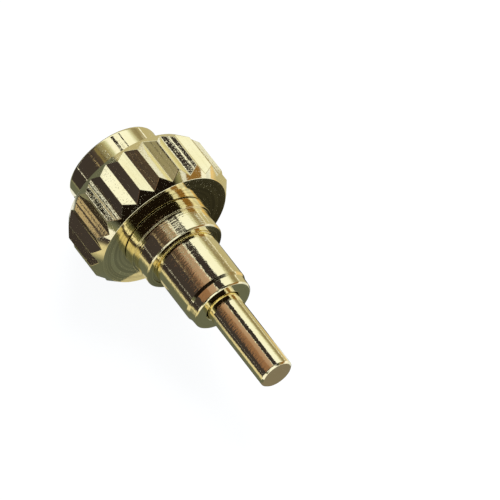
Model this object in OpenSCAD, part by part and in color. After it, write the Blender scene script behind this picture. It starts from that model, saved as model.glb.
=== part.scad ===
// Screw-locked push button for a chronograph watch case, in millimetres.
// The button's axis is X. Outwards, towards the finger, is +X and the movement is at -X.
// The origin is the centre of the tube's shoulder, the face that seats in the watch case.

/* [Tube] */
// Diameter of the shank that is pressed into the case
shank_d = 2.5; // [2.4:0.05:2.7]
// Length of the shank, from the seat to its inner end
shank_l = 2.5; // [2.3:0.1:3.2]
// Length of the lead-in taper at the shank's inner end
lead_l = 0.5; // [0.3:0.05:0.7]
// How much the taper takes off the shank's radius
lead_drop = 0.07; // [0.03:0.01:0.12]
// Width of the relief cut in the seat round the shank
relief_w = 0.12; // [0.06:0.02:0.18]
// Depth of that relief
relief_h = 0.05; // [0.03:0.01:0.08]
// How far the relief cuts under the shank
relief_under = 0.03; // [0.02:0.01:0.05]
// Diameter of the neck that shows behind the collar
neck_d = 3.2; // [3.14:0.02:3.3]
// Length of the neck, from the seat to the stop face that the collar lands on
neck_l = 1.3; // [1.1:0.05:1.6]
// Diameter of the stop ring turned on the neck
stop_d = 3.38; // [3.32:0.02:3.5]
// Width of the stop ring
stop_w = 0.42; // [0.3:0.02:0.6]
// Outer diameter of the thread that the collar turns on
thread_d = 3.1; // [3.04:0.02:3.12]
// Outer diameter of the plain guide in front of the thread
guide_d = 2.8; // [2.74:0.02:2.9]
// Thickness of the tube's inner end wall, which guides the stem
end_wall = 0.55; // [0.4:0.05:0.7]
// Diameter of the chamber that holds the stem's gaskets
chamber_d = 1.9; // [1.86:0.02:1.96]
// Diameter of the bore that holds the bush and the spring
spring_bore_d = 2.16; // [2.08:0.02:2.18]

/* [Collar] */
// Diameter over the ridges of the fluted grip
grip_d = 5.9; // [5.7:0.05:6.4]
// Length of the collar, from its back face to its front face
collar_l = 2.28; // [2.16:0.02:2.8]
// Number of flutes round the grip
flute_count = 22; // [18:1:30]
// Depth of each V-cut flute
flute_depth = 0.22; // [0.16:0.01:0.28]
// Diameter of the flat end faces, inside the two bevels
end_face_d = 5.26; // [5.1:0.02:5.4]
// Length of the bevel behind the flutes
back_bevel = 0.38; // [0.2:0.02:0.6]
// Length of the bevel in front of the flutes
front_bevel = 0.45; // [0.2:0.05:0.6]
// Pitch of the thread
pitch = 0.25; // [0.2:0.05:0.25]
// Turns from screwed down to fully raised
lift_turns = 2; // [1:0.5:2]
// Width of the lip in front of the cap's gasket
mouth_lip = 0.12; // [0.1:0.01:0.2]

/* [Button] */
// Diameter of the button cap
cap_d = 3.7; // [3.6:0.05:3.9]
// How far the cap stands out of the collar
cap_proud = 1.25; // [1:0.05:1.5]
// How far the cap's skirt reaches behind the collar's front face
skirt_in = 0.4; // [0.4:0.01:0.5]
// Rounding of the cap's front edge
rim_round = 0.13; // [0.05:0.01:0.25]
// Thickness of the cap's crown
crown = 0.55; // [0.4:0.05:0.6]
// Diameter of the threaded hub inside the cap
hub_d = 1.3; // [1.24:0.02:1.34]
// Length of the hub behind the crown
hub_l = 0.9; // [0.5:0.05:1.2]
// Travel of the button when it is pressed
press = 0.6; // [0.4:0.05:0.6]

/* [Stem] */
// Diameter of the stem where it leaves the tube
stem_d = 1.3; // [1.24:0.02:1.34]
// How far the stem reaches out of the tube's inner end
stem_out = 3.45; // [2.5:0.05:4.5]
// Bevel on the stem's tip
tip_bevel = 0.07; // [0.03:0.01:0.12]
// Diameter of the stem's thin outer part
rod_d = 1.0; // [0.9:0.02:1.04]
// How far the thin part screws into the cap's crown
rod_in = 0.2; // [0.1:0.05:0.25]
// Thickness of the stop washer on the stem's shoulder
stop_washer_t = 0.14; // [0.1:0.01:0.2]

/* [Seals and spring] */
// Length of the spacer between the two stem gaskets
spacer_l = 0.3; // [0.2:0.05:0.35]
// Length of the ring that keeps the gaskets in the chamber
retainer_l = 0.25; // [0.15:0.05:0.3]
// Length of the guide bush
bush_l = 0.67; // [0.5:0.05:0.8]
// Where the guide bush's inner face stands, from the seat
bush_x = 0.28; // [0.2:0.02:0.36]
// Thickness of the washer under the spring
washer_t = 0.1; // [0.06:0.02:0.14]
// Wire diameter of the return spring
wire_d = 0.22; // [0.16:0.02:0.24]
// Turns of the return spring
spring_turns = 4; // [3:1:4]
// Cord diameter of the cap's gasket
cap_cord = 0.24; // [0.2:0.02:0.24]

/* [Fits] */
// Radial clearance of the parts that slide or turn in one another
run_fit = 0.03; // [0.02:0.01:0.04]
// Radial gap between the cap and the collar's mouth
mouth_gap = 0.1; // [0.08:0.01:0.12]
// Clearance of the gaskets in their seats
seal_fit = 0.02; // [0.015:0.005:0.03]
// Gap that is left between two faces that land on each other
face_gap = 0.03; // [0.02:0.01:0.05]
// Gap between pieces that are pressed or screwed together
press_fit = 0.01; // [0.005:0.005:0.015]

/* [Hidden] */

// Smoothness of the turned shapes
$fn = 96;
fine = 48;

// Small edge breaks on turned corners
edge = 0.05;

// Radii that the fits are worked out from
shank_r = shank_d / 2;
neck_r = neck_d / 2;
stop_r = stop_d / 2;
thread_r = thread_d / 2;
guide_r = guide_d / 2;
chamber_r = chamber_d / 2;
spring_bore_r = spring_bore_d / 2;
grip_r = grip_d / 2;
valley_r = grip_r - flute_depth;
end_face_r = end_face_d / 2;
cap_r = cap_d / 2;
mouth_r = cap_r + mouth_gap;
stem_r = stem_d / 2;
rod_r = rod_d / 2;
hub_r = hub_d / 2;

// Places along the axis, from the seat outwards
lift = pitch * lift_turns;
collar_back = neck_l + face_gap;
collar_front = collar_back + collar_l;
cap_face = collar_front + cap_proud;
skirt_back = collar_front - skirt_in;
crown_back = cap_face - crown;
thread_front = skirt_back - press - face_gap;
collar_shoulder = thread_front - lift - face_gap;
guide_front = crown_back - press - face_gap;

// Places along the axis, from the seat inwards
shank_back = -shank_l;
chamber_back = shank_back + end_wall;
gasket_cord = chamber_r - stem_r - 2 * seal_fit;
inner_gasket_x = chamber_back + seal_fit + gasket_cord / 2;
spacer_x = inner_gasket_x + gasket_cord / 2 + seal_fit;
outer_gasket_x = spacer_x + spacer_l + seal_fit + gasket_cord / 2;
retainer_x = outer_gasket_x + gasket_cord / 2 + seal_fit;
stop_x = bush_x - face_gap;
shaft_front = stop_x - stop_washer_t;
stem_back = shank_back - stem_out;
rod_front = crown_back + rod_in;

// The spring sits between its washer and the cap's crown
spring_back = bush_x + bush_l + washer_t + 2 * press_fit;
spring_seat = spring_back + press_fit;
spring_front = crown_back - press_fit;
spring_mean_r = spring_bore_r - run_fit * 2 - wire_d / 2;
spring_rings = 8;
wire_sides = 6;

// The cap's gasket lies in a groove just inside the collar's mouth
cap_groove_r = cap_r + seal_fit * 2 + cap_cord;
cap_groove_w = cap_cord + 2 * seal_fit;
cap_groove_back = collar_front - mouth_lip - cap_groove_w;

// Turns an outline, drawn as [distance along X, radius], about the X axis
module turned(outline) {
    rotate([0, 90, 0])
        rotate_extrude()
            polygon([for (p = outline) [p[1], p[0]]]);
}

// A washer along X
module washer(from, to, inner, outer) {
    turned([[from, inner], [to, inner], [to, outer], [from, outer]]);
}

// A round cord bent into a ring about X
module cord_ring(x, mean_r, cord) {
    translate([x, 0, 0])
        rotate([0, 90, 0])
            rotate_extrude()
                translate([mean_r, 0])
                    circle(d = cord, $fn = fine);
}

// A quarter round corner of radius r about [x, y], from angle a1 to a2
function corner(x, y, r, a1, a2, steps = 6) =
    [for (i = [0:steps]) let (a = a1 + (a2 - a1) * i / steps) [x + r * cos(a), y + r * sin(a)]];

// The tube: tapered shank, seat, neck with its stop ring, thread and guide, bored in three steps
module case_tube() {
    lead_r = shank_r - lead_drop;
    color("#c8a850")
        turned([
            [shank_back, stem_r + run_fit + edge],
            [shank_back, lead_r - edge],
            [shank_back + edge, lead_r],
            [shank_back + lead_l, shank_r],
            [-relief_h, shank_r],
            [relief_h, shank_r - relief_under],
            [relief_h, shank_r + relief_w],
            [0, shank_r + relief_w],
            [0, neck_r - edge],
            [edge, neck_r],
            [neck_l - stop_w, neck_r],
            [neck_l - stop_w, stop_r - edge / 2],
            [neck_l - stop_w + edge / 2, stop_r],
            [neck_l, stop_r],
            [neck_l, thread_r - edge],
            [neck_l + edge, thread_r],
            [thread_front - edge, thread_r],
            [thread_front, thread_r - edge],
            [thread_front, guide_r],
            [guide_front - edge, guide_r],
            [guide_front, guide_r - edge],
            [guide_front, spring_bore_r],
            [bush_x, spring_bore_r],
            [bush_x, chamber_r],
            [chamber_back, chamber_r],
            [chamber_back, stem_r + run_fit],
            [shank_back + edge, stem_r + run_fit]
        ]);
}

// Ring pressed into the chamber, which keeps both stem gaskets in
module gasket_retainer() {
    color("#b89a5a")
        washer(retainer_x, retainer_x + retainer_l, stem_r + run_fit, chamber_r - press_fit);
}

// Ring between the two stem gaskets
module gasket_spacer() {
    color("#b89a5a")
        washer(spacer_x, spacer_x + spacer_l, stem_r + run_fit, chamber_r - press_fit);
}

// Bush pressed in from the front: guides the thin rod, stops the button, carries the spring
module guide_bush() {
    outer = spring_bore_r - press_fit;
    bore = rod_r + run_fit;
    from = bush_x + press_fit;
    to = from + bush_l;
    color("#b89a5a")
        turned([
            [from, bore], [from, outer - edge], [from + edge, outer],
            [to, outer], [to, bore + edge], [to - edge, bore]
        ]);
}

module inner_stem_gasket() {
    color("#202020")
        cord_ring(inner_gasket_x, (chamber_r + stem_r) / 2, gasket_cord);
}

module outer_stem_gasket() {
    color("#202020")
        cord_ring(outer_gasket_x, (chamber_r + stem_r) / 2, gasket_cord);
}

// Thin washer that lets the spring turn on the bush
module spring_washer() {
    from = spring_back - washer_t;
    color("#b8bcc0")
        washer(from, spring_back, rod_r + 2 * run_fit, spring_bore_r - 2 * run_fit);
}

// Points of a ring of wire at turn t of the helix, square to the wire
function helix_point(t, from, rise, r) = [from + rise * t, r * cos(360 * t), r * sin(360 * t)];
function wire_ring(t, from, rise, r, wire_r) =
    let (
        run = 2 * PI * r,
        along = [rise, -run * sin(360 * t), run * cos(360 * t)] / norm([rise, run]),
        out = [0, cos(360 * t), sin(360 * t)],
        side = cross(along, out),
        centre = helix_point(t, from, rise, r)
    )
    [for (k = [0:wire_sides - 1])
        let (a = 360 * (k + 0.5) / wire_sides)
        centre + wire_r * (out * cos(a) + side * sin(a))];

// Compression spring: one round wire wound at a steady rise
module return_spring() {
    wire_r = wire_d / 2;
    from = spring_seat + wire_r;
    rise = (spring_front - spring_seat - wire_d) / spring_turns;
    last = spring_turns * spring_rings;
    rings = [for (i = [0:last]) wire_ring(i / spring_rings, from, rise, spring_mean_r, wire_r)];
    points = [for (ring = rings) for (p = ring) p];
    walls = [
        for (i = [0:last - 1])
            for (k = [0:wire_sides - 1])
                let (
                    a = i * wire_sides + k,
                    b = i * wire_sides + (k + 1) % wire_sides,
                    c = a + wire_sides,
                    d = b + wire_sides
                )
                for (face = [[a, b, c], [b, d, c]]) face
    ];
    first_end = [for (k = [1:wire_sides - 2]) [0, k + 1, k]];
    tail = last * wire_sides;
    last_end = [for (k = [1:wire_sides - 2]) [tail, tail + k, tail + k + 1]];
    centres = [for (i = [0:last]) helix_point(i / spring_rings, from, rise, spring_mean_r)];
    gaps = [
        for (i = [0:last])
            for (j = [i + spring_rings / 2:1:last])
                norm(centres[i] - centres[j]) - wire_d
    ];
    echo(least_gap_between_turns = min(gaps));
    color("#b8bcc0")
        polyhedron(points = points, faces = concat(walls, first_end, last_end));
}

// The stem: bevelled tip, full shaft through the gaskets, shoulder, thin threaded rod
module stem() {
    color("#c8a850")
        turned([
            [stem_back, 0],
            [stem_back, stem_r - tip_bevel],
            [stem_back + tip_bevel, stem_r],
            [shaft_front, stem_r],
            [shaft_front, rod_r],
            [rod_front - edge, rod_r],
            [rod_front, rod_r - edge],
            [rod_front, 0]
        ]);
}

// Washer on the stem's shoulder: it lands on the bush and keeps the button in
module stop_washer() {
    color("#b8bcc0")
        washer(shaft_front, stop_x, rod_r + press_fit, chamber_r - 2 * run_fit);
}

// The cap: flat face, rounded rim, skirt that slides over the tube's guide, threaded hub
module button_cap() {
    skirt_inner = guide_r + run_fit;
    hole = rod_r + press_fit;
    hub_back = crown_back - hub_l;
    hole_front = rod_front + face_gap;
    color("#c8a850")
        turned(concat(
            [[hole_front, 0], [cap_face, 0]],
            corner(cap_face - rim_round, cap_r - rim_round, rim_round, 0, 90),
            [
                [skirt_back + edge, cap_r],
                [skirt_back, cap_r - edge],
                [skirt_back, skirt_inner + edge],
                [skirt_back + edge, skirt_inner],
                [crown_back, skirt_inner],
                [crown_back, hub_r],
                [hub_back, hub_r],
                [hub_back, hole],
                [hole_front, hole]
            ]
        ));
}

// Gasket that seals the cap in the collar's mouth
module cap_gasket() {
    color("#202020")
        cord_ring(cap_groove_back + cap_groove_w / 2, cap_r + seal_fit + cap_cord / 2, cap_cord);
}

// Star outline of the flutes: flat-sided V cuts between sharp ridges
module flute_outline() {
    half = 180 / flute_count;
    polygon([
        for (i = [0:flute_count - 1])
            for (side = [0, 1])
                let (a = half * (2 * i + side), r = side == 0 ? grip_r : valley_r)
                [r * cos(a), r * sin(a)]
    ]);
}

// The collar's body: a ring bevelled at both ends, with the flutes cut along all of it
module fluted_body() {
    bevel_rise = grip_r - end_face_r;
    over = edge / bevel_rise;
    intersection() {
        translate([collar_back, 0, 0])
            rotate([0, 90, 0])
                linear_extrude(collar_l)
                    flute_outline();
        turned([
            [collar_back, 0],
            [collar_back, end_face_r],
            [collar_back + back_bevel * (1 + over), grip_r + edge],
            [collar_front - front_bevel * (1 + over), grip_r + edge],
            [collar_front, end_face_r],
            [collar_front, 0]
        ]);
    }
}

// Everything that is bored out of the collar: thread, cap bore, gasket groove, mouth
module collar_bore() {
    thread_bore = thread_r + run_fit;
    turned([
        [collar_back - edge, 0],
        [collar_back - edge, thread_bore + 2 * edge],
        [collar_back + edge, thread_bore],
        [collar_shoulder, thread_bore],
        [collar_shoulder, mouth_r],
        [cap_groove_back, mouth_r],
        [cap_groove_back, cap_groove_r],
        [cap_groove_back + cap_groove_w, cap_groove_r],
        [cap_groove_back + cap_groove_w, mouth_r],
        [collar_front - edge / 2, mouth_r],
        [collar_front + edge / 2, mouth_r + edge],
        [collar_front + edge, mouth_r + edge],
        [collar_front + edge, 0]
    ]);
}

// The collar: bevelled and fluted body with its stepped bore, in one piece
module locking_collar() {
    color("#c8a850")
        difference() {
            fluted_body();
            collar_bore();
        }
}

case_tube();
gasket_retainer();
gasket_spacer();
guide_bush();
inner_stem_gasket();
outer_stem_gasket();
spring_washer();
return_spring();
stem();
stop_washer();
button_cap();
cap_gasket();
locking_collar();
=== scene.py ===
"""Looks of a screw-locked watch pusher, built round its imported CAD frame.

Every piece is a surface worked out with numpy in millimetres, in the CAD frame: +X points outwards
along the button's axis, and the origin is the centre of the seat.
"""

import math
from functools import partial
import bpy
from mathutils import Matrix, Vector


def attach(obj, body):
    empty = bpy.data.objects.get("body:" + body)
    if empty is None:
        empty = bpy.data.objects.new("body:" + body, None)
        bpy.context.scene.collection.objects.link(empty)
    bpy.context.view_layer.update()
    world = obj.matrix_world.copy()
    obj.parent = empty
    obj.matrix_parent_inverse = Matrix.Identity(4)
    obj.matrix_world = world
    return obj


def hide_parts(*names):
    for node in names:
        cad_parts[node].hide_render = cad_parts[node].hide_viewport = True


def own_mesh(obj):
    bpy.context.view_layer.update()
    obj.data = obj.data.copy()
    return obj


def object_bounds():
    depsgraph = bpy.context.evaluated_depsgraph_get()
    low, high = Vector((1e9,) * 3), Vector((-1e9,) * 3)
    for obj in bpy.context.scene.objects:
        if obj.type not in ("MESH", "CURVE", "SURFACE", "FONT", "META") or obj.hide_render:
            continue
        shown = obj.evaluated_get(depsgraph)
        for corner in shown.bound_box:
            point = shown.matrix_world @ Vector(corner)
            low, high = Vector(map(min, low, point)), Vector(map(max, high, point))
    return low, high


bl_info = {
    "name": "Watch Pusher",
    "version": (1, 0, 0),
    "blender": (4, 5, 0),
    "location": "3D View > Sidebar > Pusher",
    "description": "Makes the pieces of a screw-locked watch pusher and the stage they lie on",
    "category": "Object",
}

from types import SimpleNamespace

import bpy
import numpy as np
from bpy.props import FloatProperty, FloatVectorProperty, IntProperty, PointerProperty
from mathutils import Matrix, Vector

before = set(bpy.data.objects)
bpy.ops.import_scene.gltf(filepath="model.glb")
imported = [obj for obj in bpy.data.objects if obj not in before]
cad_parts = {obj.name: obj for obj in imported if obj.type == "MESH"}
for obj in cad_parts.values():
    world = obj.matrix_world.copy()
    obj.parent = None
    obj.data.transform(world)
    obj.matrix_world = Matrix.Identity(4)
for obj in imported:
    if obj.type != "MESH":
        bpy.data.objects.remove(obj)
CAD_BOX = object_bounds()

MM = 0.001
TURNS = 256  # columns round a turned piece
ARC = 5  # points on a rounded corner
CRISP, INNER = 0.01, 0.015  # roundings in mm of edges left sharp and of inside corners


# Sizes and colours


def size(name, description, millimetres):
    """A length that a user would change, shown in the scene's own unit."""
    return FloatProperty(
        name=name, description=description, default=millimetres * MM, min=0.0,
        unit="LENGTH", subtype="DISTANCE", precision=5,
    )


def linear(hex_colour):
    """sRGB hex to the linear values that shaders work in."""
    s = np.array([int(hex_colour[i : i + 2], 16) for i in (1, 3, 5)]) / 255
    return tuple(np.where(s <= 0.04045, s / 12.92, ((s + 0.055) / 1.055) ** 2.4).tolist())


def colour(name, description, hex_colour):
    """A colour that a user would change, written as sRGB hex."""
    return FloatVectorProperty(
        name=name, description=description, default=linear(hex_colour), size=3,
        min=0.0, max=1.0, subtype="COLOR",
    )


class PusherTubeSizes(bpy.types.PropertyGroup):
    """Sizes of the tube that is pressed into the watch case."""

    shank_d: size("Shank", "Diameter of the shank pressed into the case", 2.5)
    shank_l: size("Shank length", "From the seat to the shank's inner end", 2.5)
    lead_l: size("Lead-in", "Length of the taper at the shank's inner end", 0.5)
    lead_drop: size("Lead-in drop", "How much the taper takes off the radius", 0.07)
    relief_w: size("Relief width", "Width of the relief cut in the seat", 0.12)
    relief_h: size("Relief depth", "Depth of that relief", 0.05)
    relief_under: size("Relief undercut", "How far it cuts under the shank", 0.03)
    neck_d: size("Neck", "Diameter of the neck behind the collar", 3.2)
    neck_l: size("Neck length", "From the seat to the stop face", 1.3)
    stop_d: size("Stop ring", "Diameter of the stop ring on the neck", 3.38)
    stop_w: size("Stop ring width", "Width of the stop ring", 0.42)
    thread_d: size("Thread", "Outer diameter of the collar's thread", 3.1)
    pitch: size("Pitch", "Pitch of that thread", 0.25)
    guide_d: size("Guide", "Outer diameter of the plain guide", 2.8)
    end_wall: size("End wall", "Thickness of the inner end wall", 0.55)
    chamber_d: size("Gasket chamber", "Bore that holds the stem's gaskets", 1.9)
    spring_bore_d: size("Spring bore", "Bore that holds the bush and spring", 2.16)


class PusherCollarSizes(bpy.types.PropertyGroup):
    """Sizes of the fluted locking collar."""

    grip_d: size("Grip", "Diameter over the ridges", 5.9)
    collar_l: size("Length", "From the back face to the front face", 2.28)
    flute_count: IntProperty(name="Flutes", description="Number of V-cut flutes", default=22, min=8)
    flute_depth: size("Flute depth", "Depth of each flute", 0.22)
    end_face_d: size("End faces", "Diameter of the flat ends inside the bevels", 5.26)
    back_bevel: size("Back bevel", "Length of the bevel behind the flutes", 0.38)
    front_bevel: size("Front bevel", "Length of the bevel in front of the flutes", 0.45)
    mouth_lip: size("Mouth lip", "Width of the lip in front of the cap's gasket", 0.12)
    lift: size("Lift", "How far the collar screws up", 0.5)
    clocking: FloatProperty(
        name="Clocking", description="Angle of the first ridge about the axis",
        default=math.radians(9.08), subtype="ANGLE",
    )


class PusherButtonSizes(bpy.types.PropertyGroup):
    """Sizes of the cap and the stem that move when the button is pressed."""

    cap_d: size("Cap", "Diameter of the button cap", 3.7)
    cap_proud: size("Cap height", "How far the cap stands out of the collar", 1.25)
    skirt_in: size("Skirt", "How far the skirt reaches into the collar", 0.4)
    rim_round: size("Rim", "Rounding of the cap's front edge", 0.13)
    crown: size("Crown", "Thickness of the cap's crown", 0.55)
    hub_d: size("Hub", "Diameter of the hub inside the cap", 1.3)
    hub_l: size("Hub length", "Length of the hub behind the crown", 0.9)
    press: size("Travel", "Travel of the button", 0.6)
    stem_d: size("Stem", "Diameter of the stem", 1.3)
    stem_out: size("Stem length", "How far the stem leaves the tube", 3.45)
    tip_bevel: size("Tip bevel", "Bevel on the stem's tip", 0.07)
    rod_d: size("Rod", "Diameter of the stem's thin part", 1.0)
    rod_in: size("Rod in crown", "How far the rod screws into the crown", 0.2)
    stop_washer_t: size("Stop washer", "Thickness of the stop washer", 0.14)


class PusherInnerSizes(bpy.types.PropertyGroup):
    """Sizes of the seals, the bush and the spring, and the clearances."""

    spacer_l: size("Spacer", "Length of the spacer between the gaskets", 0.3)
    retainer_l: size("Retainer", "Length of the gaskets' retainer", 0.25)
    bush_l: size("Bush", "Length of the guide bush", 0.67)
    bush_x: size("Bush place", "Where the bush's inner face stands", 0.28)
    washer_t: size("Spring washer", "Thickness of the washer under the spring", 0.1)
    wire_d: size("Wire", "Wire diameter of the return spring", 0.22)
    spring_turns: IntProperty(name="Turns", description="Turns of the spring", default=4, min=2)
    cap_cord: size("Cap gasket", "Cord diameter of the cap's gasket", 0.24)
    run_fit: size("Running fit", "Radial clearance of sliding parts", 0.03)
    mouth_gap: size("Mouth gap", "Radial gap round the cap", 0.1)
    seal_fit: size("Seal fit", "Clearance of the gaskets", 0.02)
    face_gap: size("Face gap", "Gap between faces that land on each other", 0.03)
    press_fit: size("Press fit", "Gap between pressed or screwed parts", 0.01)


class PusherLook(bpy.types.PropertyGroup):
    """Finish of the metal and rubber, and the studio round them."""

    edge: size("Edge break", "Small chamfers on turned corners", 0.05)
    fillet: size("Edge polish", "Rounding that polishing leaves on corners", 0.03)
    gold: colour("Gold plating", "Pale yellow plating", "#F9F2CE")
    gold_deep: colour("Deeper gold", "Plating where it is a little thicker", "#F2E5B4")
    brass: colour("Brass", "Turned brass of the inner rings", "#D9B86A")
    steel: colour("Steel", "Drawn steel of the spring", "#B9BCC0")
    rubber: colour("Nitrile", "Black nitrile of the gaskets", "#1B1B1C")
    floor: colour("Floor", "Pale floor", "#FBFCFD")
    dark: colour("Flag", "Dark flags that the metal mirrors", "#3C3638")
    olive: colour("Mat", "Olive grey mat that the metal mirrors", "#62665A")
    warm: colour("Warm card", "Pinkish card that the metal mirrors", "#A98A78")
    amber: colour("Amber card", "Amber card that the metal mirrors", "#8C6A3C")
    cream: colour("Cream card", "Cream card that the metal mirrors", "#D8CFAD")
    white: colour("White card", "White card that the metal mirrors", "#F8FCFF")


GROUPS = {
    "pusher_tube": PusherTubeSizes,
    "pusher_collar": PusherCollarSizes,
    "pusher_button": PusherButtonSizes,
    "pusher_inner": PusherInnerSizes,
    "pusher_look": PusherLook,
}


def places(scene):
    """All sizes in millimetres, and the places along X that follow from them."""
    s = SimpleNamespace()
    for group in GROUPS:
        values = getattr(scene, group)
        for name, prop in values.bl_rna.properties.items():
            if getattr(prop, "unit", "") == "LENGTH":
                setattr(s, name, getattr(values, name) / MM)
    s.collar_back = s.neck_l + s.face_gap
    s.collar_front = s.collar_back + s.collar_l
    s.cap_face = s.collar_front + s.cap_proud
    s.skirt_back = s.collar_front - s.skirt_in
    s.crown_back = s.cap_face - s.crown
    s.thread_front = s.skirt_back - s.press - s.face_gap
    s.collar_shoulder = s.thread_front - s.lift - s.face_gap
    s.guide_front = s.crown_back - s.press - s.face_gap
    s.shank_back = -s.shank_l
    s.chamber_back = s.shank_back + s.end_wall
    s.gasket_cord = (s.chamber_d - s.stem_d) / 2 - 2 * s.seal_fit
    s.inner_gasket_x = s.chamber_back + s.seal_fit + s.gasket_cord / 2
    s.spacer_x = s.inner_gasket_x + s.gasket_cord / 2 + s.seal_fit
    s.outer_gasket_x = s.spacer_x + s.spacer_l + s.seal_fit + s.gasket_cord / 2
    s.retainer_x = s.outer_gasket_x + s.gasket_cord / 2 + s.seal_fit
    s.stop_x = s.bush_x - s.face_gap
    s.shaft_front = s.stop_x - s.stop_washer_t
    s.stem_back = s.shank_back - s.stem_out
    s.rod_front = s.crown_back + s.rod_in
    s.spring_back = s.bush_x + s.bush_l + s.washer_t + 2 * s.press_fit
    s.spring_seat = s.spring_back + s.press_fit
    s.spring_front = s.crown_back - s.press_fit
    s.spring_mean_r = s.spring_bore_d / 2 - 2 * s.run_fit - s.wire_d / 2
    s.groove_r = s.cap_d / 2 + 2 * s.seal_fit + s.cap_cord
    s.groove_w = s.cap_cord + 2 * s.seal_fit
    s.groove_back = s.collar_front - s.mouth_lip - s.groove_w
    return s


# Surfaces


def unit(v):
    """Vectors of length one, along the last axis."""
    return v / np.maximum(np.linalg.norm(v, axis=-1, keepdims=True), 1e-12)


def rounded(corners, closed=True, line=1):
    """Points and outward normals of an outline whose corners are all rounded.

    corners are rows of [x, y, radius]. At a corner between lines with outward normals u0 and u1,
    the circle of radius f that touches both has its centre at corner - f (u0 + u1) / (1 + u0 . u1),
    and the arc's points are centre + f n, where n swings from u0 to u1. In a hollow corner f is
    negative. Each line is cut into `line` equal pieces.
    """
    c = np.array(corners, float)
    p = c[:, :2]
    following = np.roll(p, -1, 0)
    length = np.hypot(*(following - p).T)
    d = unit(following - p)
    side = np.sign((p[:, 0] * following[:, 1] - p[:, 1] * following[:, 0]).sum())
    u1 = side * np.c_[d[:, 1], -d[:, 0]]
    u0 = np.roll(u1, 1, 0)
    turn = np.arctan2(u0[:, 0] * u1[:, 1] - u0[:, 1] * u1[:, 0], (u0 * u1).sum(1))
    # An arc takes at most 0.45 of a line, which leaves room for the one at its other end.
    reach = np.minimum(length, np.roll(length, 1)) * 0.45
    f = np.minimum(c[:, 2], reach / np.maximum(np.tan(abs(turn) / 2), 1e-6))
    f *= np.sign(side * turn)
    centre = p - (f / (1 + (u0 * u1).sum(1)))[:, None] * (u0 + u1)
    a = turn[:, None] * np.linspace(0, 1, ARC)
    n = np.stack([
        u0[:, :1] * np.cos(a) - u0[:, 1:] * np.sin(a),
        u0[:, :1] * np.sin(a) + u0[:, 1:] * np.cos(a),
    ], -1)
    q = centre[:, None] + f[:, None, None] * n
    if line > 1:
        t = np.arange(1, line)[None, :, None] / line
        q = np.concatenate([q, q[:, -1:] * (1 - t) + np.roll(q[:, :1], -1, 0) * t], 1)
        n = np.concatenate([n, np.repeat(u1[:, None], line - 1, 1)], 1)
    if closed:
        return q.reshape(-1, 2), n.reshape(-1, 2)
    q = np.concatenate([p[:1], q[1:-1].reshape(-1, 2), p[-1:]])
    n = np.concatenate([u1[:1], n[1:-1].reshape(-1, 2), u0[-1:]])
    return q, n


def with_rows(points, normals, after, count):
    """The same outline with count more points on the line that follows point `after`."""
    t = np.linspace(0, 1, count + 2)[1:-1, None]
    between = points[after] * (1 - t) + points[after + 1] * t
    same = np.repeat(normals[after : after + 1], count, 0)
    return np.insert(points, after + 1, between, 0), np.insert(normals, after + 1, same, 0)


def revolve(points, normals, directions):
    """An outline [x, radius] carried round X: each point becomes x, radius * direction."""
    def carried(v):
        x = np.repeat(v[:, None, :1], len(directions), 1)
        return np.concatenate([x, v[:, None, 1:] * directions[None]], -1)
    return carried(points), carried(normals)


def round_directions(count=TURNS):
    """Unit vectors in the YZ plane at equal angles."""
    a = np.arange(count) * 2 * np.pi / count
    return np.c_[np.cos(a), np.sin(a)]


def helical(points, normals, rows, pitch, depth, fade):
    """A V thread on some rows of a revolved grid.

    The radius changes by depth * w(x) * g(x / pitch - angle / 2 pi), where g rises and falls once
    a turn, with crest and root a little rounded, and w fades the thread in and out at its ends.
    """
    x, y, z = np.moveaxis(points[rows], -1, 0)
    r, a = np.hypot(y, z), np.arctan2(z, y)
    s = (x / pitch - a / (2 * np.pi)) % 1
    v = abs(2 * s - 1)
    g = v * v * (3 - 2 * v)
    slope = 6 * v * (1 - v) * np.sign(2 * s - 1) * 2
    w = np.clip(np.minimum(x - x.min(), x.max() - x) / fade, 0, 1)
    grown = r + depth * w * g
    dx, da = depth * w * slope / pitch, -depth * w * slope / (2 * np.pi) / grown
    out = np.stack([np.zeros_like(y), y / r, z / r], -1)
    along = np.array([1.0, 0.0, 0.0])
    around = np.cross(along, out)
    facing = np.sign((normals[rows] * out).sum(-1, keepdims=True))
    points, normals = points.copy(), normals.copy()
    points[rows] = np.stack([x, grown * y / r, grown * z / r], -1)
    normals[rows] = unit(out - dx[..., None] * along - da[..., None] * around) * facing
    return points, normals


def faces_of(rows, columns, closed):
    """Quads of a grid whose columns close into rings. Its rows close too, or else the first and
    the last are poles, each with a fan."""
    index = np.arange(rows * columns).reshape(rows, columns)
    if not closed:
        index = index - columns + 1
        index[0], index[-1] = 0, index[-2, -1] + 1
    low = np.roll(index, -1, 0)
    quads = np.stack([index, low, np.roll(low, -1, 1), np.roll(index, -1, 1)], -1)
    if closed:
        return quads.reshape(-1, 4).tolist()
    first, middle, last = quads[0, :, :3], quads[1:-2].reshape(-1, 4), quads[-2][:, [0, 1, 3]]
    return first.tolist() + middle.tolist() + last.tolist()


def placed(name, data):
    """A new object in the scene."""
    piece = bpy.data.objects.new(name, data)
    bpy.context.scene.collection.objects.link(piece)
    return piece


def mesh_piece(name, kind, points, faces):
    """A new object of that kind of material, from points in millimetres."""
    mesh = bpy.data.meshes.new(name)
    mesh.from_pydata((np.array(points) * MM).tolist(), [], faces)
    mesh.materials.append(finish(kind))
    return placed(name, mesh)


def flat(grid, closed):
    """A grid's entries in one row, with each pole once."""
    if closed:
        return grid.reshape(-1, *grid.shape[2:])
    middle = grid[1:-1].reshape(-1, *grid.shape[2:])
    return np.concatenate([grid[0, :1], middle, grid[-1, :1]])


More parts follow.
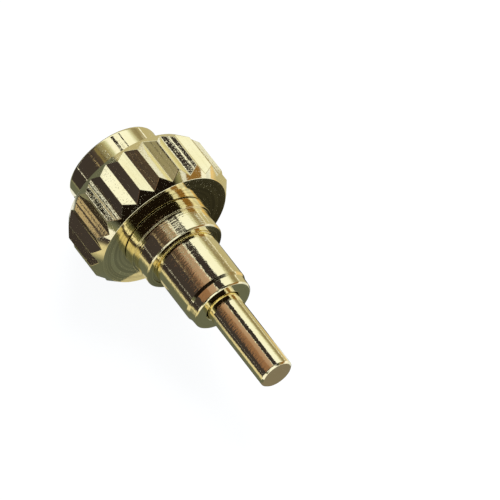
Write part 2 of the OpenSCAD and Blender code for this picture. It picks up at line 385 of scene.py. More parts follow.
def grid_piece(name, node, kind, body, points, normals, closed=True, dressed=None):
    """Makes a piece from a grid of points [row, column] in millimetres and their normals.

    It rides on the body, takes the CAD node's place on screen, and has that kind of finish.
    record's slot for it.
    """
    rows, columns = points.shape[:2]
    faces = faces_of(rows, columns, closed)
    co, no = flat(points, closed), unit(flat(normals, closed))
    # The faces a third of the way along show whether all of them have to be turned round.
    probe = np.array([f[:3] for f in faces[len(faces) // 3 : len(faces) // 3 + columns]])
    a, b, c = co[probe[:, 0]], co[probe[:, 1]], co[probe[:, 2]]
    if (np.cross(b - a, c - a) * no[probe[:, 0]]).sum() < 0:
        faces = [f[::-1] for f in faces]
    piece = mesh_piece(name, kind, co, faces)
    mesh = piece.data
    mesh.polygons.foreach_set("use_smooth", np.ones(len(mesh.polygons), bool))
    mesh.normals_split_custom_set_from_vertices(no.tolist())
    if dressed is not None:
        share = flat(dressed, closed).astype(np.float32)
        mesh.attributes.new("dressed", "FLOAT", "POINT").data.foreach_set("value", share)
    mesh.validate()
    mesh.update()
    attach(piece, body)
    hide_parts(node)
    return piece


def turned_piece(name, node, kind, body, corners, closed=True, thread=None, dressed_from=None):
    """A turned piece: a rounded outline of rows [x, radius, rounding] revolved about X.

    thread is (corner, rows, pitch, depth, fade): the line that follows that corner is threaded.
    dressed_from is a place along X, in front of which the surface counts as dressed.
    """
    points, normals = rounded(corners, closed)
    if thread:
        corner, count, *form = thread
        after = (corner + 1) * ARC - 1
        points, normals = with_rows(points, normals, after, count)
    grid = revolve(points, normals, round_directions())
    if thread:
        grid = helical(*grid, slice(after, after + count + 2), *form)
    dressed = None if dressed_from is None else grid[0][..., 0] > dressed_from
    return grid_piece(name, node, kind, body, *grid, closed, dressed)


def washer_piece(name, node, kind, body, from_x, to_x, inner, outer, fillet):
    """A flat ring between two places along X."""
    return turned_piece(name, node, kind, body, [
        [from_x, inner, fillet], [to_x, inner, fillet],
        [to_x, outer, fillet], [from_x, outer, fillet],
    ])


def cord_piece(name, node, body, x, mean_r, cord, sides=48, columns=192):
    """A rubber ring: a circle of the cord's diameter carried round X at its mean radius."""
    normals = round_directions(sides)
    points = np.array([x, mean_r]) + cord / 2 * normals
    grid = revolve(points, normals, round_directions(columns))
    return grid_piece(name, node, RUBBER, body, *grid)


# Materials

TURNED_GOLD = "Gold plating over turned brass"
CUT_GOLD = "Gold plating over cut brass"
SATIN_GOLD = "Gold plating over brushed brass"
BRASS = "Turned brass"
STEEL = "Drawn spring steel"
RUBBER = "Moulded nitrile rubber"
# Heights of rings and dimples in metres, and the roughness of the dullest specks
GOLDS = {
    TURNED_GOLD: (3e-6, 3.2e-6, 0.2), CUT_GOLD: (1.2e-6, 0.3e-6, 0.32),
    SATIN_GOLD: (1.2e-6, 1e-6, 0.2),
}
# Colour, lowest and highest roughness, and height of the marks in metres
METALS = {BRASS: ("brass", 0.16, 0.34, 1.5e-6), STEEL: ("steel", 0.14, 0.3, 1e-6)}

# A tone is the name of one of the look's colours, or sRGB hex. Papers have one each, and the
# scale of their mottle.
PAPERS = {
    "Grey paper": ("cream", 120), "Black paper": ("dark", 120), "White paper": ("white", 120),
    "Grey felt": ("#8A8276", 120), "Khaki card": ("#897E5B", 120), "Drab card": ("#A29A8A", 120),
    "Moss green card": ("#A09A80", 1200), "Fawn card": ("#A0785E", 120),
    "Brown card": ("#52463F", 120), "Tan paper": ("#C8B596", 120),
}
# Rows of cards as stops: where a tone is reached, and the tone. The tent's are in degrees about
# the axis, those of mats and kraft paper in millimetres along Y, the slats' in their wave's level.
SOOT, STRAW, BUFF = "#17110E", "#E3C896", "#B7AF8D"
TENT_BY_CAP = (
    (-180, "cream"), (-150, "olive"), (-30, "olive"), (-4, "dark"), (45, "dark"), (54, "#4A4343"),
    (62, "#665F4B"), (70, "#87826B"), (79, "#9B9474"), (88, "#C8CCB6"), (93, "white"),
    (144, "#F4F8F4"), (152, "#C8C8B0"), (160, "#958B6E"), (169, "#8A8064"), (178, "#A59B7C"),
    (180, "#A59B7C"),
)
TENT_BY_STEM = (
    (-180, "amber"), (-120, "olive"), (0, "#7F8064"), (8, "olive"), (16, SOOT), (136, SOOT),
    (146, "#8C8C6C"), (160, "amber"), (180, "amber"),
)
MATS_BY_CAP = (
    (-60, BUFF), (-4, BUFF), (-3.2, "#4A4938"), (-1, "olive"), (5.2, "olive"), (6.1, "#8B8A72"),
    (7, "cream"), (8, "cream"), (9.6, "#6A6452"), (10.6, "dark"), (200, "dark"),
)
MATS_BY_STEM = (
    (-60, STRAW), (-5.4, STRAW), (-4.8, "olive"), (4, "olive"), (5, "cream"), (9.3, "cream"),
    (11.4, "#514A44"), (14, "dark"), (200, "dark"),
)
KRAFT = (
    (0, "#B5988A"), (4, "#AE9180"), (8, "warm"), (11.5, "#9C7B68"), (16, "#8A6A58"),
    (22, "#6F574B"), (30, "#5A4D48"), (42, "dark"), (60, "dark"),
)
SLATS = ((0.74, "#1A1614"), (0.8, "white"))
DAYLIGHT = 1.15  # strength of a white card in daylight

SHARE, FIRST, SECOND = 0, 6, 7  # sockets of a Mix node of two colours


def add_node(tree, kind, inputs=None, **settings):
    """Adds a shader node with its settings. inputs gives each socket a value, another node's
    output, or another node, whose first output in use is meant."""
    node = tree.nodes.new("ShaderNode" + kind)
    for key, value in settings.items():
        setattr(node, key, value)
    for key, value in (inputs or {}).items():
        if isinstance(value, bpy.types.Node):
            value = next(socket for socket in value.outputs if socket.enabled)
        if isinstance(value, bpy.types.NodeSocket):
            tree.links.new(value, node.inputs[key])
        else:
            node.inputs[key].default_value = value
    return node


def toned(tone, share=1.0):
    """A tone with a share of its light, as a socket's four values."""
    look = bpy.context.scene.pusher_look
    values = linear(tone) if tone.startswith("#") else getattr(look, tone)
    return (*(share * v for v in values), 1.0)


def in_millimetres(add):
    """Object coordinates in millimetres."""
    place = add("TexCoord").outputs["Object"]
    return add("Mapping", {"Vector": place, "Scale": (1000, 1000, 1000)})


def lathe_coordinates(add):
    """Coordinates in millimetres, the same folded to (x, distance from the axis), and that
    distance."""
    mm = in_millimetres(add)
    across = add("VectorMath", {0: mm, 1: (0, 1, 1)}, operation="MULTIPLY")
    radius = add("VectorMath", {0: across}, operation="LENGTH")
    x = add("SeparateXYZ", {0: mm}).outputs["X"]
    return mm, add("CombineXYZ", {"X": x, "Y": radius}), radius


def mottled(add, place, scale, tone, other, detail=2.0):
    """A tone that turns to the other in patches, and the patches."""
    patches = add("TexNoise", {"Vector": place, "Scale": scale, "Detail": detail})
    tint = add("Mix", {SHARE: patches, FIRST: tone, SECOND: other}, data_type="RGBA")
    return tint, patches


def bands(add, place, stops):
    """A row of cards, soft or sharp between its stops."""
    low, high = stops[0][0], stops[-1][0]
    along = add("MapRange", {"Value": place, "From Min": low, "From Max": high})
    ramp = add("ValToRGB", {"Fac": along})
    elements = ramp.color_ramp.elements
    while len(elements) < len(stops):
        elements.new(0.5)
    for element, (at, _) in zip(elements, stops):
        element.position = (at - low) / (high - low)
    for element, (_, tone) in zip(elements, stops):
        element.color = toned(tone)
    return ramp


def ringed(add, folded, scale, height):
    """Rings that a lathe leaves, and the bump they make."""
    rings = add("TexNoise", {"Vector": folded, "Scale": scale, "Detail": 3.0, "Roughness": 0.6},
                noise_dimensions="2D")
    return rings, add("Bump", {"Distance": height, "Height": rings})


def gold_surface(add, kind):
    """Gold plating over turned and polished brass.

    It gives the eye a mirror with a pale yellow tint, whose reflections are drawn out by the rings
    that turning leaves. Flutes show the cutter's lines along them instead, and a satin face is
    brushed so finely that it only blurs what it mirrors. The attribute "dressed" is 1 there.
    """
    ring_height, dimple_height, dullest = GOLDS[kind]
    mm, folded, radius = lathe_coordinates(add)
    # Turning marks are about 0.01 mm apart, under half a pixel, so they are drawn at 0.07 mm.
    rings, bump = ringed(add, folded, 14.0, ring_height)
    dressed = add("Attribute", attribute_name="dressed").outputs["Fac"]
    if kind == CUT_GOLD:
        # The cutter leaves lines along each flute, as long as the flute and 0.05 to 0.3 mm apart.
        stretched = add("Mapping", {"Vector": mm, "Scale": (0.03, 1, 1)})
        lines = add("TexNoise", {"Vector": stretched, "Scale": 6.0, "Detail": 1.0})
        height = add("Math", {0: lines, 1: dressed}, operation="MULTIPLY")
        bump = add("Bump", {"Distance": 5e-6, "Height": height, "Normal": bump})
    # Polishing and plating leave shallow dimples of under 0.1 mm, with finer grain in them.
    dimples = add("TexNoise", {"Vector": mm, "Scale": 12.0, "Detail": 1.0, "Roughness": 0.6})
    bump = add("Bump", {"Distance": dimple_height, "Height": dimples, "Normal": bump})
    # The plating varies a little in thickness over about a millimetre.
    plated, _ = mottled(add, mm, 0.8, toned("gold"), toned("gold_deep"))
    # Facing cuts across the axis leave coarser rings, and their light and shade is painted into the
    # colour: painted shade in the ring bottoms, painted highlight on the crests. The stem's tip,
    # under
    # 0.7 mm from the axis, is polished smooth.
    facing = add("SeparateXYZ", {0: add("TexCoord").outputs["Normal"]}).outputs["X"]
    across = add("Math", {0: facing, 1: facing}, operation="MULTIPLY")
    outer = add("MapRange", {"Value": radius, "From Min": 0.7, "From Max": 1.5})
    share = add("Math", {0: across, 1: outer}, operation="MULTIPLY")
    # Painted shade and highlight of the rings, as a factor on the colour of faces across the axis.
    painted_ring_shade = add("MapRange", {
        "Value": rings, "From Min": 0.38, "From Max": 0.62, "To Min": 0.76, "To Max": 1.12})
    tint = add("Mix", {SHARE: share, FIRST: plated, SECOND: painted_ring_shade},
               data_type="RGBA", blend_type="MULTIPLY")
    # Pits and dust of a few hundredths of a millimetre scatter light, so dark reflections sparkle.
    specks = add("TexNoise", {"Vector": mm, "Scale": 16.0, "Detail": 1.0})
    rough = add("MapRange", {
        "Value": specks, "From Min": 0.6, "From Max": 0.72, "To Min": 0.03, "To Max": dullest})
    if kind == SATIN_GOLD:
        # Brushing marks of 0.02 mm are too fine to draw, so they only widen the highlights.
        rough = add("Math", {0: dressed, 1: 0.16, 2: rough}, operation="MULTIPLY_ADD")
    return add("BsdfPrincipled", {
        "Base Color": tint, "Metallic": 1.0, "Roughness": rough, "Normal": bump})


def metal_surface(add, kind):
    """A bare metal with turning or drawing marks: a duller mirror whose rings catch the light."""
    tone, low, high, height = METALS[kind]
    mm, folded, _ = lathe_coordinates(add)
    # Marks of 0.01 mm are drawn at 0.04 mm, the finest that shows.
    rings, bump = ringed(add, folded, 25.0, height)
    tint, _ = mottled(add, mm, 2.5, toned(tone), toned(tone, 0.8), 3.0)
    rough = add("MapRange", {
        "Value": rings, "From Min": 0.3, "From Max": 0.7, "To Min": low, "To Max": high})
    return add("BsdfPrincipled", {
        "Base Color": tint, "Metallic": 1.0, "Roughness": rough, "Normal": bump})


def rubber_surface(add, _):
    """Moulded nitrile, lightly greased: nearly black, with a soft sheen and a faint grain."""
    mm = in_millimetres(add)
    # The mould's grain is about 0.03 mm.
    grain = add("TexNoise", {"Vector": mm, "Scale": 30.0, "Detail": 3.0})
    tint, smears = mottled(add, mm, 3.0, toned("rubber"), toned("rubber", 1.9))
    rough = add("MapRange", {"Value": smears, "To Min": 0.3, "To Max": 0.6})
    bump = add("Bump", {"Distance": 2e-6, "Height": grain})
    return add("BsdfPrincipled", {
        "Base Color": tint, "Roughness": rough, "IOR": 1.52, "Normal": bump})


def two_rows(add, place, by_stem, by_cap, x, start, end):
    """A row of cards towards the stem and one towards the cap, blended from start to end of x."""
    share = add("MapRange", {"Value": x, "From Min": start, "From Max": end})
    rows = [bands(add, place, stops) for stops in (by_stem, by_cap)]
    return add("Mix", {SHARE: share, FIRST: rows[0], SECOND: rows[1]}, data_type="RGBA")


def tent_surface(add, _):
    """Matt cards by their angle about the axis, one row towards the cap and one to the stem."""
    place = add("TexCoord").outputs["Object"]
    x, y, z = add("SeparateXYZ", {0: place}).outputs
    angle = add("Math", {0: z, 1: y}, operation="ARCTAN2")
    degrees = add("Math", {0: angle}, operation="DEGREES")
    sides = two_rows(add, degrees, TENT_BY_STEM, TENT_BY_CAP, x, -0.06, -0.01)
    # The end behind the stem is white.
    where = add("MapRange", {"Value": x, "From Min": -0.218, "From Max": -0.214})
    whole = add("Mix", {SHARE: where, FIRST: toned("white"), SECOND: sides}, data_type="RGBA")
    return add("Emission", {"Color": whole, "Strength": DAYLIGHT})


def mats_surface(add, _):
    """Felt mats side by side on the bench, with a painted shadow under the object."""
    mm = in_millimetres(add)
    x, y, _ = add("SeparateXYZ", {0: mm}).outputs
    mats = two_rows(add, y, MATS_BY_STEM, MATS_BY_CAP, x, -1.2, 0.4)
    # A painted shadow, darker under the object, where the object keeps the light off the mat.
    under = add("Mapping", {"Vector": mm, "Location": (0.17, 0.66, 0), "Scale": (0.38, 0.3, 0)})
    near = add("TexGradient", {"Vector": under}, gradient_type="SPHERICAL").outputs["Fac"]
    painted_shadow = add("MapRange", {"Value": near, "From Max": 0.5, "To Max": 0.93})
    whole = add("Mix", {SHARE: painted_shadow, FIRST: mats, SECOND: toned("#2A271C")}, data_type="RGBA")
    return add("Emission", {"Color": whole, "Strength": DAYLIGHT})


def paper_surface(add, name):
    """Paper that mirrors as one tone, a little mottled."""
    tone, scale = PAPERS[name]
    place = add("TexCoord").outputs["Object"]
    tint, _ = mottled(add, place, scale, toned(tone), toned(tone, 0.6))
    return add("Emission", {"Color": tint, "Strength": DAYLIGHT})


def slat_surface(add, _):
    """Narrow white slats with dark gaps, one every 1.1 mm."""
    place = add("TexCoord").outputs["Object"]
    slats = add("TexWave", {"Vector": place, "Scale": 280.0, "Distortion": 1.0},
                bands_direction="Y")
    tone = bands(add, slats.outputs["Fac"], SLATS)
    return add("Emission", {"Color": tone, "Strength": DAYLIGHT})


def kraft_surface(add, _):
    """A warm card over the bench, darker towards its far side, whose right edge is thin."""
    x, y, _ = add("SeparateXYZ", {0: in_millimetres(add)}).outputs
    paper = add("Emission", {"Color": bands(add, y, KRAFT), "Strength": DAYLIGHT})
    gone = add("MapRange", {"Value": x, "From Min": 10, "From Max": 12.8})
    return add("MixShader", {0: gone, 1: paper, 2: add("BsdfTransparent")})


def board_surface(add, _):
    """Matt pale board. The camera and the metal see it as white, with the object's shadow."""
    place = add("TexCoord").outputs["Object"]
    tint, _ = mottled(add, place, 900, toned("floor"), toned("floor", 0.97))
    board = add("BsdfDiffuse", {"Color": tint})
    glow = add("Emission", {"Color": toned("floor"), "Strength": 1.0})
    rays = add("LightPath").outputs
    seen = add("Math", {0: rays["Is Camera Ray"], 1: rays["Is Glossy Ray"]}, operation="MAXIMUM")
    seen = add("Math", {0: seen, 1: rays["Is Transmission Ray"]}, operation="MAXIMUM")
    share = add("Math", {0: seen, 1: 0.92}, operation="MULTIPLY")
    return add("MixShader", {0: share, 1: board, 2: glow})


SURFACES = {
    **dict.fromkeys(GOLDS, gold_surface), **dict.fromkeys(METALS, metal_surface),
    **dict.fromkeys(PAPERS, paper_surface), RUBBER: rubber_surface, "Felt mats": mats_surface,
    "Kraft paper": kraft_surface, "White slats": slat_surface, "Studio cards": tent_surface,
    "Matt pale board": board_surface,
}


def finish(name):
    """The material of that name, made once and then shared."""
    material = bpy.data.materials.get(name)
    if not material:
        material = bpy.data.materials.new(name)
        material.use_nodes = True
        material.node_tree.nodes.clear()
        add = partial(add_node, material.node_tree)
        add("OutputMaterial", {"Surface": SURFACES[name](add, name)})
    return material


# Operators


class PUSHER_OT_tube(bpy.types.Operator):
    """Make the tube: tapered shank, relieved seat, neck, stop ring, thread and guide."""

    bl_idname = "pusher.tube"
    bl_label = "Case tube"

    def execute(self, context):
        s = places(context.scene)
        shank, neck, stop = s.shank_d / 2, s.neck_d / 2, s.stop_d / 2
        thread, guide, e, f = s.thread_d / 2, s.guide_d / 2, s.edge, s.fillet
        spring, chamber, bore = s.spring_bore_d / 2, s.chamber_d / 2, s.stem_d / 2 + s.run_fit
        lead, taper, stop_back = shank - s.lead_drop, s.shank_back + s.lead_l, s.neck_l - s.stop_w
        groove, hard = 2.4 * e, 0.012  # groove before the taper, and rounding of the stop ring
        first, rows, depth, fade = 15, 110, -0.13, 0.12  # corner where the thread begins, and form
        turned_piece("tube_body", "case_tube", TURNED_GOLD, "tube", [
            [s.shank_back, bore + e, f], [s.shank_back, lead - e, f], [s.shank_back + e, lead, f],
            [taper - groove, shank - e, CRISP], [taper, shank, CRISP], [0, shank, CRISP],
            [s.relief_h, shank - s.relief_under, INNER], [s.relief_h, shank + s.relief_w, INNER],
            [0, shank + s.relief_w, CRISP], [0, neck - e, f], [e, neck, f],
            [stop_back, neck, INNER], [stop_back, stop, hard], [s.neck_l, stop, hard],
            [s.neck_l, thread - e, INNER], [s.neck_l + e, thread, f],
            [s.thread_front - e, thread, f], [s.thread_front, thread - e, f],
            [s.thread_front, guide, INNER], [s.guide_front - e, guide, f],
            [s.guide_front, guide - e, f], [s.guide_front, spring, f], [s.bush_x, spring, f],
            [s.bush_x, chamber, f], [s.chamber_back, chamber, f], [s.chamber_back, bore, f],
            [s.shank_back + e, bore, f],
        ], thread=(first, rows, s.pitch, depth, fade))
        return {"FINISHED"}


class PUSHER_OT_inner_rings(bpy.types.Operator):
    """Make the brass rings in the tube: retainer, spacer and guide bush."""

    bl_idname = "pusher.inner_rings"
    bl_label = "Retainer, spacer and bush"

    def execute(self, context):
        s = places(context.scene)
        bore, seat = s.stem_d / 2 + s.run_fit, s.chamber_d / 2 - s.press_fit
        e, f = s.edge, s.fillet
        for name, node, start, length in (
            ("gasket_keeper_ring", "gasket_retainer", s.retainer_x, s.retainer_l),
            ("gasket_spacer_ring", "gasket_spacer", s.spacer_x, s.spacer_l),
        ):
            washer_piece(name, node, BRASS, "tube", start, start + length, bore, seat, f)
        outer, hole = s.spring_bore_d / 2 - s.press_fit, s.rod_d / 2 + s.run_fit
        start = s.bush_x + s.press_fit
        end = start + s.bush_l
        turned_piece("rod_guide_bush", "guide_bush", BRASS, "tube", [
            [start, hole, f], [start, outer - e, f], [start + e, outer, f],
            [end, outer, f], [end, hole + e, f], [end - e, hole, f],
        ])
        return {"FINISHED"}


class PUSHER_OT_gaskets(bpy.types.Operator):
    """Make the rubber rings: two on the stem and one round the cap."""

    bl_idname = "pusher.gaskets"
    bl_label = "Gaskets"

    def execute(self, context):
        s = places(context.scene)
        mean = (s.chamber_d + s.stem_d) / 4
        cord_piece("stem_seal_inner", "inner_stem_gasket", "tube",
                   s.inner_gasket_x, mean, s.gasket_cord)
        cord_piece("stem_seal_outer", "outer_stem_gasket", "tube",
                   s.outer_gasket_x, mean, s.gasket_cord)
        cord_piece("cap_seal", "cap_gasket", "seal", s.groove_back + s.groove_w / 2,
                   s.cap_d / 2 + s.seal_fit + s.cap_cord / 2, s.cap_cord)
        return {"FINISHED"}


class PUSHER_OT_spring(bpy.types.Operator):
    """Make the return spring and the two steel washers."""

    bl_idname = "pusher.spring"
    bl_label = "Spring and washers"

    def execute(self, context):
        s = places(context.scene)
        rod, slack = s.rod_d / 2, 2 * s.run_fit
        washer_piece("spring_seat_washer", "spring_washer", STEEL, "tube",
                     s.spring_back - s.washer_t, s.spring_back,
                     rod + slack, s.spring_bore_d / 2 - slack, INNER)
        washer_piece("button_stop_washer", "stop_washer", STEEL, "button",
                     s.shaft_front, s.stop_x, rod + s.press_fit, s.chamber_d / 2 - slack, INNER)
        self.wire(s, context.scene.pusher_inner.spring_turns)
        return {"FINISHED"}

    def wire(self, s, turns):
        """Round wire on a helix, closed by a half ball at each end.

        At angle t the wire's centre is (back + rise t, r cos t, r sin t), with rise the advance in
        a radian. Its rings have the wire's radius, and at the ends radius cos q at a distance
        radius sin q further along.
        """
        steps, domed, sides = 96 * turns, 6, 20  # rings, rings on each end, points on a ring
        wire_r, r = s.wire_d / 2, s.spring_mean_r
        rise = (s.spring_front - s.spring_seat - s.wire_d) / turns / (2 * np.pi)
        inset = wire_r / r
        last = 2 * np.pi * turns - inset
        t = np.concatenate([
            np.full(domed, inset), np.linspace(inset, last, steps), np.full(domed, last)])
        q = np.linspace(0, np.pi / 2, domed + 1)[1:]
        shift = np.concatenate([-np.sin(q[::-1]), np.zeros(steps), np.sin(q)])[:, None]
        girth = np.concatenate([np.cos(q[::-1]), np.ones(steps), np.cos(q)])[:, None, None]
        out = np.c_[np.zeros_like(t), np.cos(t), np.sin(t)]
        along = unit(np.c_[np.full_like(t, rise), -r * np.sin(t), r * np.cos(t)])
        side = np.cross(along, out)
        centre = np.c_[s.spring_seat + wire_r + rise * t, r * out[:, 1:]] + wire_r * shift * along
        a = round_directions(sides)[None, :, :, None]
        ring = girth * (out[:, None] * a[..., 0, :] + side[:, None] * a[..., 1, :])
        points = centre[:, None] + wire_r * ring
        normals = ring + (along * shift)[:, None]
        piece = grid_piece("coil_spring", "return_spring", STEEL, "tube", points, normals,
                           closed=False)
        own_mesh(piece)


class PUSHER_OT_button(bpy.types.Operator):
    """Make the stem and the button cap."""

    bl_idname = "pusher.button"
    bl_label = "Stem and cap"

    def execute(self, context):
        s = places(context.scene)
        e, f, bevel = s.edge, s.fillet, s.tip_bevel
        stem, rod, hub = s.stem_d / 2, s.rod_d / 2, s.hub_d / 2
        turned_piece("stem_pin", "stem", TURNED_GOLD, "button", [
            [s.stem_back, 0, 0], [s.stem_back, stem - bevel, f], [s.stem_back + bevel, stem, f],
            [s.shaft_front, stem, f], [s.shaft_front, rod, INNER], [s.rod_front - e, rod, f],
            [s.rod_front, rod - e, f], [s.rod_front, 0, 0],
        ], closed=False)
        cap, inner, hole = s.cap_d / 2, s.guide_d / 2 + s.run_fit, rod + s.press_fit
        hub_back, hole_front = s.crown_back - s.hub_l, s.rod_front + s.face_gap
        turned_piece("cap_shell", "button_cap", SATIN_GOLD, "button", [
            [s.cap_face, 0, 0], [s.cap_face, cap, s.rim_round], [s.skirt_back + e, cap, f],
            [s.skirt_back, cap - e, f], [s.skirt_back, inner + e, f], [s.skirt_back + e, inner, f],
            [s.crown_back, inner, f], [s.crown_back, hub, f], [hub_back, hub, f],
            [hub_back, hole, f], [hole_front, hole, f], [hole_front, 0, 0],
        ], closed=False, dressed_from=s.cap_face - s.rim_round / 8)
        return {"FINISHED"}


class PUSHER_OT_collar(bpy.types.Operator):
    """Make the locking collar: bevelled ring with V-cut flutes and a stepped bore."""

    bl_idname = "pusher.collar"
    bl_label = "Locking collar"

    def execute(self, context):
        """The grid's columns follow the rounded star outline of the flutes, its rows the ring's
        section. On a column at distance R from the axis the back bevel runs from the end face at
        radius r0 to R, and meets the flute at x = back + bevel (R - r0) / (grip - r0). The front
        bevel does the same from the other side."""
        s = places(context.scene)
        grip, r0, e, f = s.grip_d / 2, s.end_face_d / 2, s.edge, s.fillet
        out, reach, flank = self.star(s, context.scene.pusher_collar)
        bore, mouth = s.thread_d / 2 + s.run_fit, s.cap_d / 2 + s.mouth_gap
        groove_front = s.groove_back + s.groove_w
        points, normals = rounded([
            [s.collar_back + s.back_bevel, grip, f], [s.collar_back, r0, f],
            [s.collar_back, bore + e, f], [s.collar_back + e, bore, f],
            [s.collar_shoulder, bore, f], [s.collar_shoulder, mouth, f], [s.groove_back, mouth, f],
            [s.groove_back, s.groove_r, f], [groove_front, s.groove_r, f], [groove_front, mouth, f],
            [s.collar_front - e / 2, mouth, f], [s.collar_front, mouth + e / 2, f],
            [s.collar_front, r0, f], [s.collar_front - s.front_bevel, grip, f],
        ])
        first, count, depth, fade = 3, 60, 0.1, 0.1  # corner where the thread begins, and form
        after = (first + 1) * ARC - 1
        points, normals = with_rows(points, normals, after, count)
        # The outermost corners go, because the bevels are built to meet the flutes there.
        points, normals = points[ARC:-ARC], normals[ARC:-ARC]
        threaded = slice(after - ARC, after - ARC + count + 2)
        plain, plain_n = helical(*revolve(points, normals, out), threaded, s.pitch, depth, fade)
        widest = 0.016  # largest rounding between a bevel and a flute

        def bevel(face, length, start, sign):
            """Rows of a bevel and of its rounded edge: x, radius, normal, and share of flute."""
            slope = np.array([length, grip - r0]) / math.hypot(length, grip - r0)
            cone = np.c_[np.full(len(out), sign * slope[1]), slope[0] * out]
            end = face - sign * length * (reach - r0) / (grip - r0)
            soft = np.minimum(widest, (reach - start[1]) * 0.3)
            x, r = end + sign * soft * slope[0] - start[0], reach - soft * slope[1] - start[1]
            steps = np.linspace(0, 1, 6)[1:]
            rows = [(start[0] + x * t, start[1] + r * t, cone, 0) for t in steps]
            for t in steps:
                left = (1 - t) ** 2
                rows.append((end + sign * soft * (left * slope[0] - t * t),
                             reach - soft * slope[1] * left, cone * (1 - t) + flank * t, t))
            return rows[::sign]

        rows = bevel(s.collar_front, s.front_bevel, points[-1], 1)
        x0, x1 = rows[-1][0], s.collar_back + s.back_bevel * (reach - r0) / (grip - r0) + widest
        rows += [(x0 + (x1 - x0) * t, reach, flank, 1) for t in np.linspace(0, 1, 8)[1:-1]]
        rows += bevel(s.collar_back, s.back_bevel, points[0], -1)
        x, r, n, share = zip(*rows)
        outer = np.concatenate([np.array(x)[..., None], np.array(r)[..., None] * out], -1)
        cut = np.concatenate([np.zeros(len(plain)), share])
        grid_piece("fluted_collar", "locking_collar", CUT_GOLD, "collar",
                   np.concatenate([plain, outer]), np.concatenate([plain_n, unit(np.array(n))]),
                   dressed=np.repeat(cut[:, None], len(out), 1))
        return {"FINISHED"}

    def star(self, s, values):
        """Directions, distances from the axis and outward normals of the flutes' outline.

        Its corners are at angles clocking + k pi / count, on the ridges for even k and on the
        roots for odd k. Each flank is cut into nine.
        """
        half, soft = math.pi / values.flute_count, 0.03
        grip, root = s.grip_d / 2, s.grip_d / 2 - s.flute_depth
        # Rounding takes a little off a ridge, so the sharp star starts that much higher there,
        # and a little lower at the roots.
        lean = math.atan2(grip - root * math.cos(half), root * math.sin(half))
        lost = soft * (1 / math.cos(lean) - 1)
        k = np.arange(2 * values.flute_count)
        a = values.clocking + k * half
        r = np.where(k % 2 == 0, grip + lost, root - 0.6 * lost)
        outline, n = rounded(np.c_[r * np.cos(a), r * np.sin(a), np.full(len(k), soft)], line=9)
        reach = np.hypot(*outline.T)
        return outline / reach[:, None], reach, np.c_[np.zeros(len(n)), n]


def oblong(left, right, near, far):
    """Corners of a rectangle."""
    return (left, near), (right, near), (right, far), (left, far)


# Cards in millimetres, level with the bench: name, paper, height above the floor and corners
CARDS = (
    ("bench_mat", "Felt mats", 0.006, oblong(-9, 60, -60, 200)),
    ("bench_strip", "Grey paper", 0.008, oblong(0.7, 1.7, -1.7, 2.1)),
    ("bench_paper", "White paper", 0.008, oblong(-9, -2.6, -60, -2.6)),
    ("bench_flag", "Black paper", 0.008, oblong(5.6, 60, 6, 200)),
    ("bench_felt", "Grey felt", 0.008, oblong(-9, -5, -2.4, 2)),
    ("warm_card", "Kraft paper", 23, oblong(1.4, 13, 0.3, 60)),
    ("dark_flag", "Black paper", 23.2,
     ((-2, -9), (9, -9.8), (10.7, -9.4), (10.7, -0.8), (9, -0.5), (-2, -0.3))),
    ("near_flag", "Black paper", 10.95, oblong(1, 3.9, -2.7, -0.5)),
    ("dark_stick", "Black paper", 23.2, oblong(13.9, 20, -6.7, -4.2)),
    ("thin_stick", "Black paper", 23.2, oblong(14.6, 20, -13.7, -12.3)),
    ("khaki_card", "Khaki card", 23, oblong(14.65, 18, 9.4, 12.6)),
    ("far_slats", "White slats", 22.8, oblong(10.7, 13.9, 4.6, 8.2)),
    ("near_stick", "Black paper", 22.8, oblong(10.8, 14.2, -9.4, -7.4)),
    ("glint_card", "White paper", 22.8, oblong(9.2, 10.6, 0.1, 1.5)),
    ("drab_card", "Drab card", 22.8, oblong(9.3, 10.6, 1.5, 8.8)),
    ("moss_card", "Moss green card", 22.8, oblong(10.6, 13.2, 0.9, 4.2)),
    ("moss_stick", "Black paper", 22.6, oblong(10.6, 13.2, 2.1, 2.8)),
    ("fawn_card", "Fawn card", 22.9,
     ((2, 10), (7, 10), (8, 15.5), (10, 21.5), (13.5, 32), (18, 46), (2, 46))),
    ("near_paper", "White paper", 0.01, oblong(6, 9.3, -13, -9.6)),
    ("brown_card", "Brown card", 22.8,
     ((9.7, 8.8), (14.6, 8.8), (14.6, 12.5), (16.6, 14), (16.6, 18.4), (9.7, 18.4))),
    ("tan_card", "Tan paper", 22.8, oblong(14.9, 18.2, 19.4, 24)),
    ("bench_card", "White paper", 0.01, oblong(5.9, 9, 0.6, 2.9)),
)
# White cards that stand upright at this place along Y: name, and corners seen from the front
UPRIGHT_Y = -30
UPRIGHT_CARDS = (
    ("side_card", oblong(15.6, 19, 2.4, 7.5)), ("corner_card", oblong(-25, -10, 14.5, 26)),
)


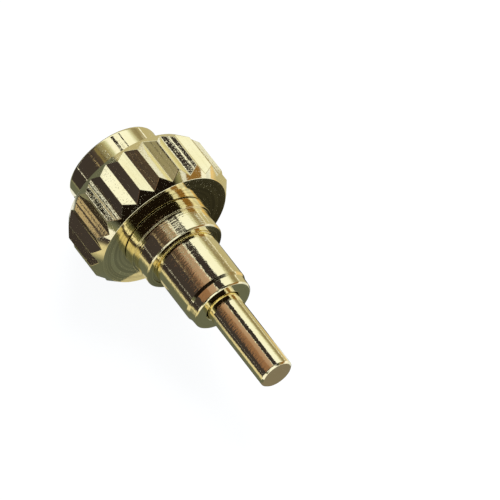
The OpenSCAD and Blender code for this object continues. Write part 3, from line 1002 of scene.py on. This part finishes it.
class PUSHER_OT_stage(bpy.types.Operator):
    """Make the floor, the cards that the metal mirrors, the lamps and the camera."""

    bl_idname = "pusher.stage"
    bl_label = "Stage"

    def execute(self, context):
        ground = CAD_BOX[0][2] / MM - 0.01
        self.board("floor", "Matt pale board", ground, oblong(-400, 400, -400, 400), False)
        for name, paper, lift, corners in CARDS:
            self.board(name, paper, ground + lift, corners)
        for name, corners in UPRIGHT_CARDS:
            card = self.board(name, "White paper", 0, corners)
            card.rotation_euler.x = np.pi / 2
            card.location.y = UPRIGHT_Y * MM
        self.tent()
        self.lamps()
        self.world()
        self.camera()
        context.scene.view_settings.view_transform = "Standard"
        return {"FINISHED"}

    def stage_piece(self, name, kind, points, faces, mirrored_only=True):
        """A piece of the stage. Most of them show in reflections and nowhere else."""
        piece = mesh_piece(name, kind, points, faces)
        for rays in ("camera", "diffuse", "shadow", "transmission") if mirrored_only else ():
            setattr(piece, "visible_" + rays, False)
        return piece

    def board(self, name, kind, z, corners, mirrored_only=True):
        """A flat piece at height z."""
        points, face = [(*corner, z) for corner in corners], tuple(range(len(corners)))
        return self.stage_piece(name, kind, points, [face], mirrored_only)

    def tent(self):
        """A ball round the whole stage, painted with bright and dark bands along the axis."""
        radius, rows, columns = 250, 49, 96
        b = np.linspace(0, np.pi, rows)
        arc = radius * np.c_[np.cos(b), np.sin(b)]
        ball, _ = revolve(arc, arc, round_directions(columns))
        faces = faces_of(rows, columns, False)
        self.stage_piece("reflection_tent", "Studio cards", flat(ball, False), faces)

    def lamps(self):
        """Two wide soft lamps, which light the rubber and the floor."""
        for name, place, energy in (
            ("key_lamp", (60, -90, 160), 0.55), ("fill_lamp", (-120, 80, 120), 0.3),
        ):
            lamp = bpy.data.lights.new(name, "AREA")
            lamp.size, lamp.energy = 120 * MM, energy
            piece = placed(name, lamp)
            piece.location = Vector(place) * MM
            piece.rotation_euler = Vector(place).to_track_quat("Z", "Y").to_euler()
            piece.visible_glossy = False

    def world(self):
        """White for the camera, soft and even for everything else."""
        world = bpy.context.scene.world or bpy.data.worlds.new("Studio")
        bpy.context.scene.world = world
        world.use_nodes = True
        world.node_tree.nodes.clear()
        add = partial(add_node, world.node_tree)
        rays = add("LightPath").outputs
        soft = add("Background", {"Color": (1, 1, 1, 1), "Strength": 0.55})
        bright = add("Background", {"Color": (1, 1, 1, 1), "Strength": 1.0})
        mixed = add("MixShader", {0: rays["Is Camera Ray"], 1: soft, 2: bright})
        add("OutputWorld", {"Surface": mixed})

    def camera(self):
        """The photograph's viewpoint, from behind and above the stem's side."""
        back = Vector((-0.449, 0.295, 0.843)).normalized()
        right = Vector((-0.549, -0.836, 0))
        right = (right - back * right.dot(back)).normalized()
        up = back.cross(right)
        distance, scale = 224.0, 27.9  # millimetres, and pixels in a millimetre
        across, above = 65.0, 6.6  # pixels from the origin to the middle of the picture
        picture, sensor = 500, 36  # width in pixels, and in millimetres
        place = back * distance
        aim = right * (across / scale) + up * (above / scale)
        to_camera = (place - aim).normalized()
        side = up.cross(to_camera).normalized()
        top = to_camera.cross(side)
        lens = bpy.data.cameras.new("camera")
        lens.sensor_width = sensor
        lens.lens = distance * scale / picture * sensor
        lens.clip_start, lens.clip_end = 0.01, 5
        eye = placed("camera", lens)
        turn = Matrix((side, top, to_camera)).transposed().to_4x4()
        eye.matrix_world = Matrix.Translation(place * MM) @ turn
        bpy.context.scene.camera = eye


OPERATORS = (
    PUSHER_OT_tube, PUSHER_OT_inner_rings, PUSHER_OT_gaskets, PUSHER_OT_spring,
    PUSHER_OT_button, PUSHER_OT_collar, PUSHER_OT_stage,
)


class PUSHER_PT_panel(bpy.types.Panel):
    """Lists the pieces and their sizes."""

    bl_label = "Watch pusher"
    bl_idname = "PUSHER_PT_panel"
    bl_space_type = "VIEW_3D"
    bl_region_type = "UI"
    bl_category = "Pusher"

    def draw(self, context):
        for operator in OPERATORS:
            self.layout.operator(operator.bl_idname)
        for group in GROUPS:
            box = self.layout.box()
            values = getattr(context.scene, group)
            for name in values.bl_rna.properties.keys():
                if name not in {"rna_type", "name"}:
                    box.prop(values, name)


CLASSES = (*GROUPS.values(), *OPERATORS, PUSHER_PT_panel)


def register():
    for cls in CLASSES:
        bpy.utils.register_class(cls)
    for group, cls in GROUPS.items():
        setattr(bpy.types.Scene, group, PointerProperty(type=cls))


def unregister():
    for group in GROUPS:
        delattr(bpy.types.Scene, group)
    for cls in reversed(CLASSES):
        bpy.utils.unregister_class(cls)


def main():
    """Makes every piece."""
    register()
    bpy.ops.pusher.tube()
    bpy.ops.pusher.inner_rings()
    bpy.ops.pusher.gaskets()
    bpy.ops.pusher.spring()
    bpy.ops.pusher.button()
    bpy.ops.pusher.collar()
    bpy.ops.pusher.stage()


if __name__ == "__main__":
    main()
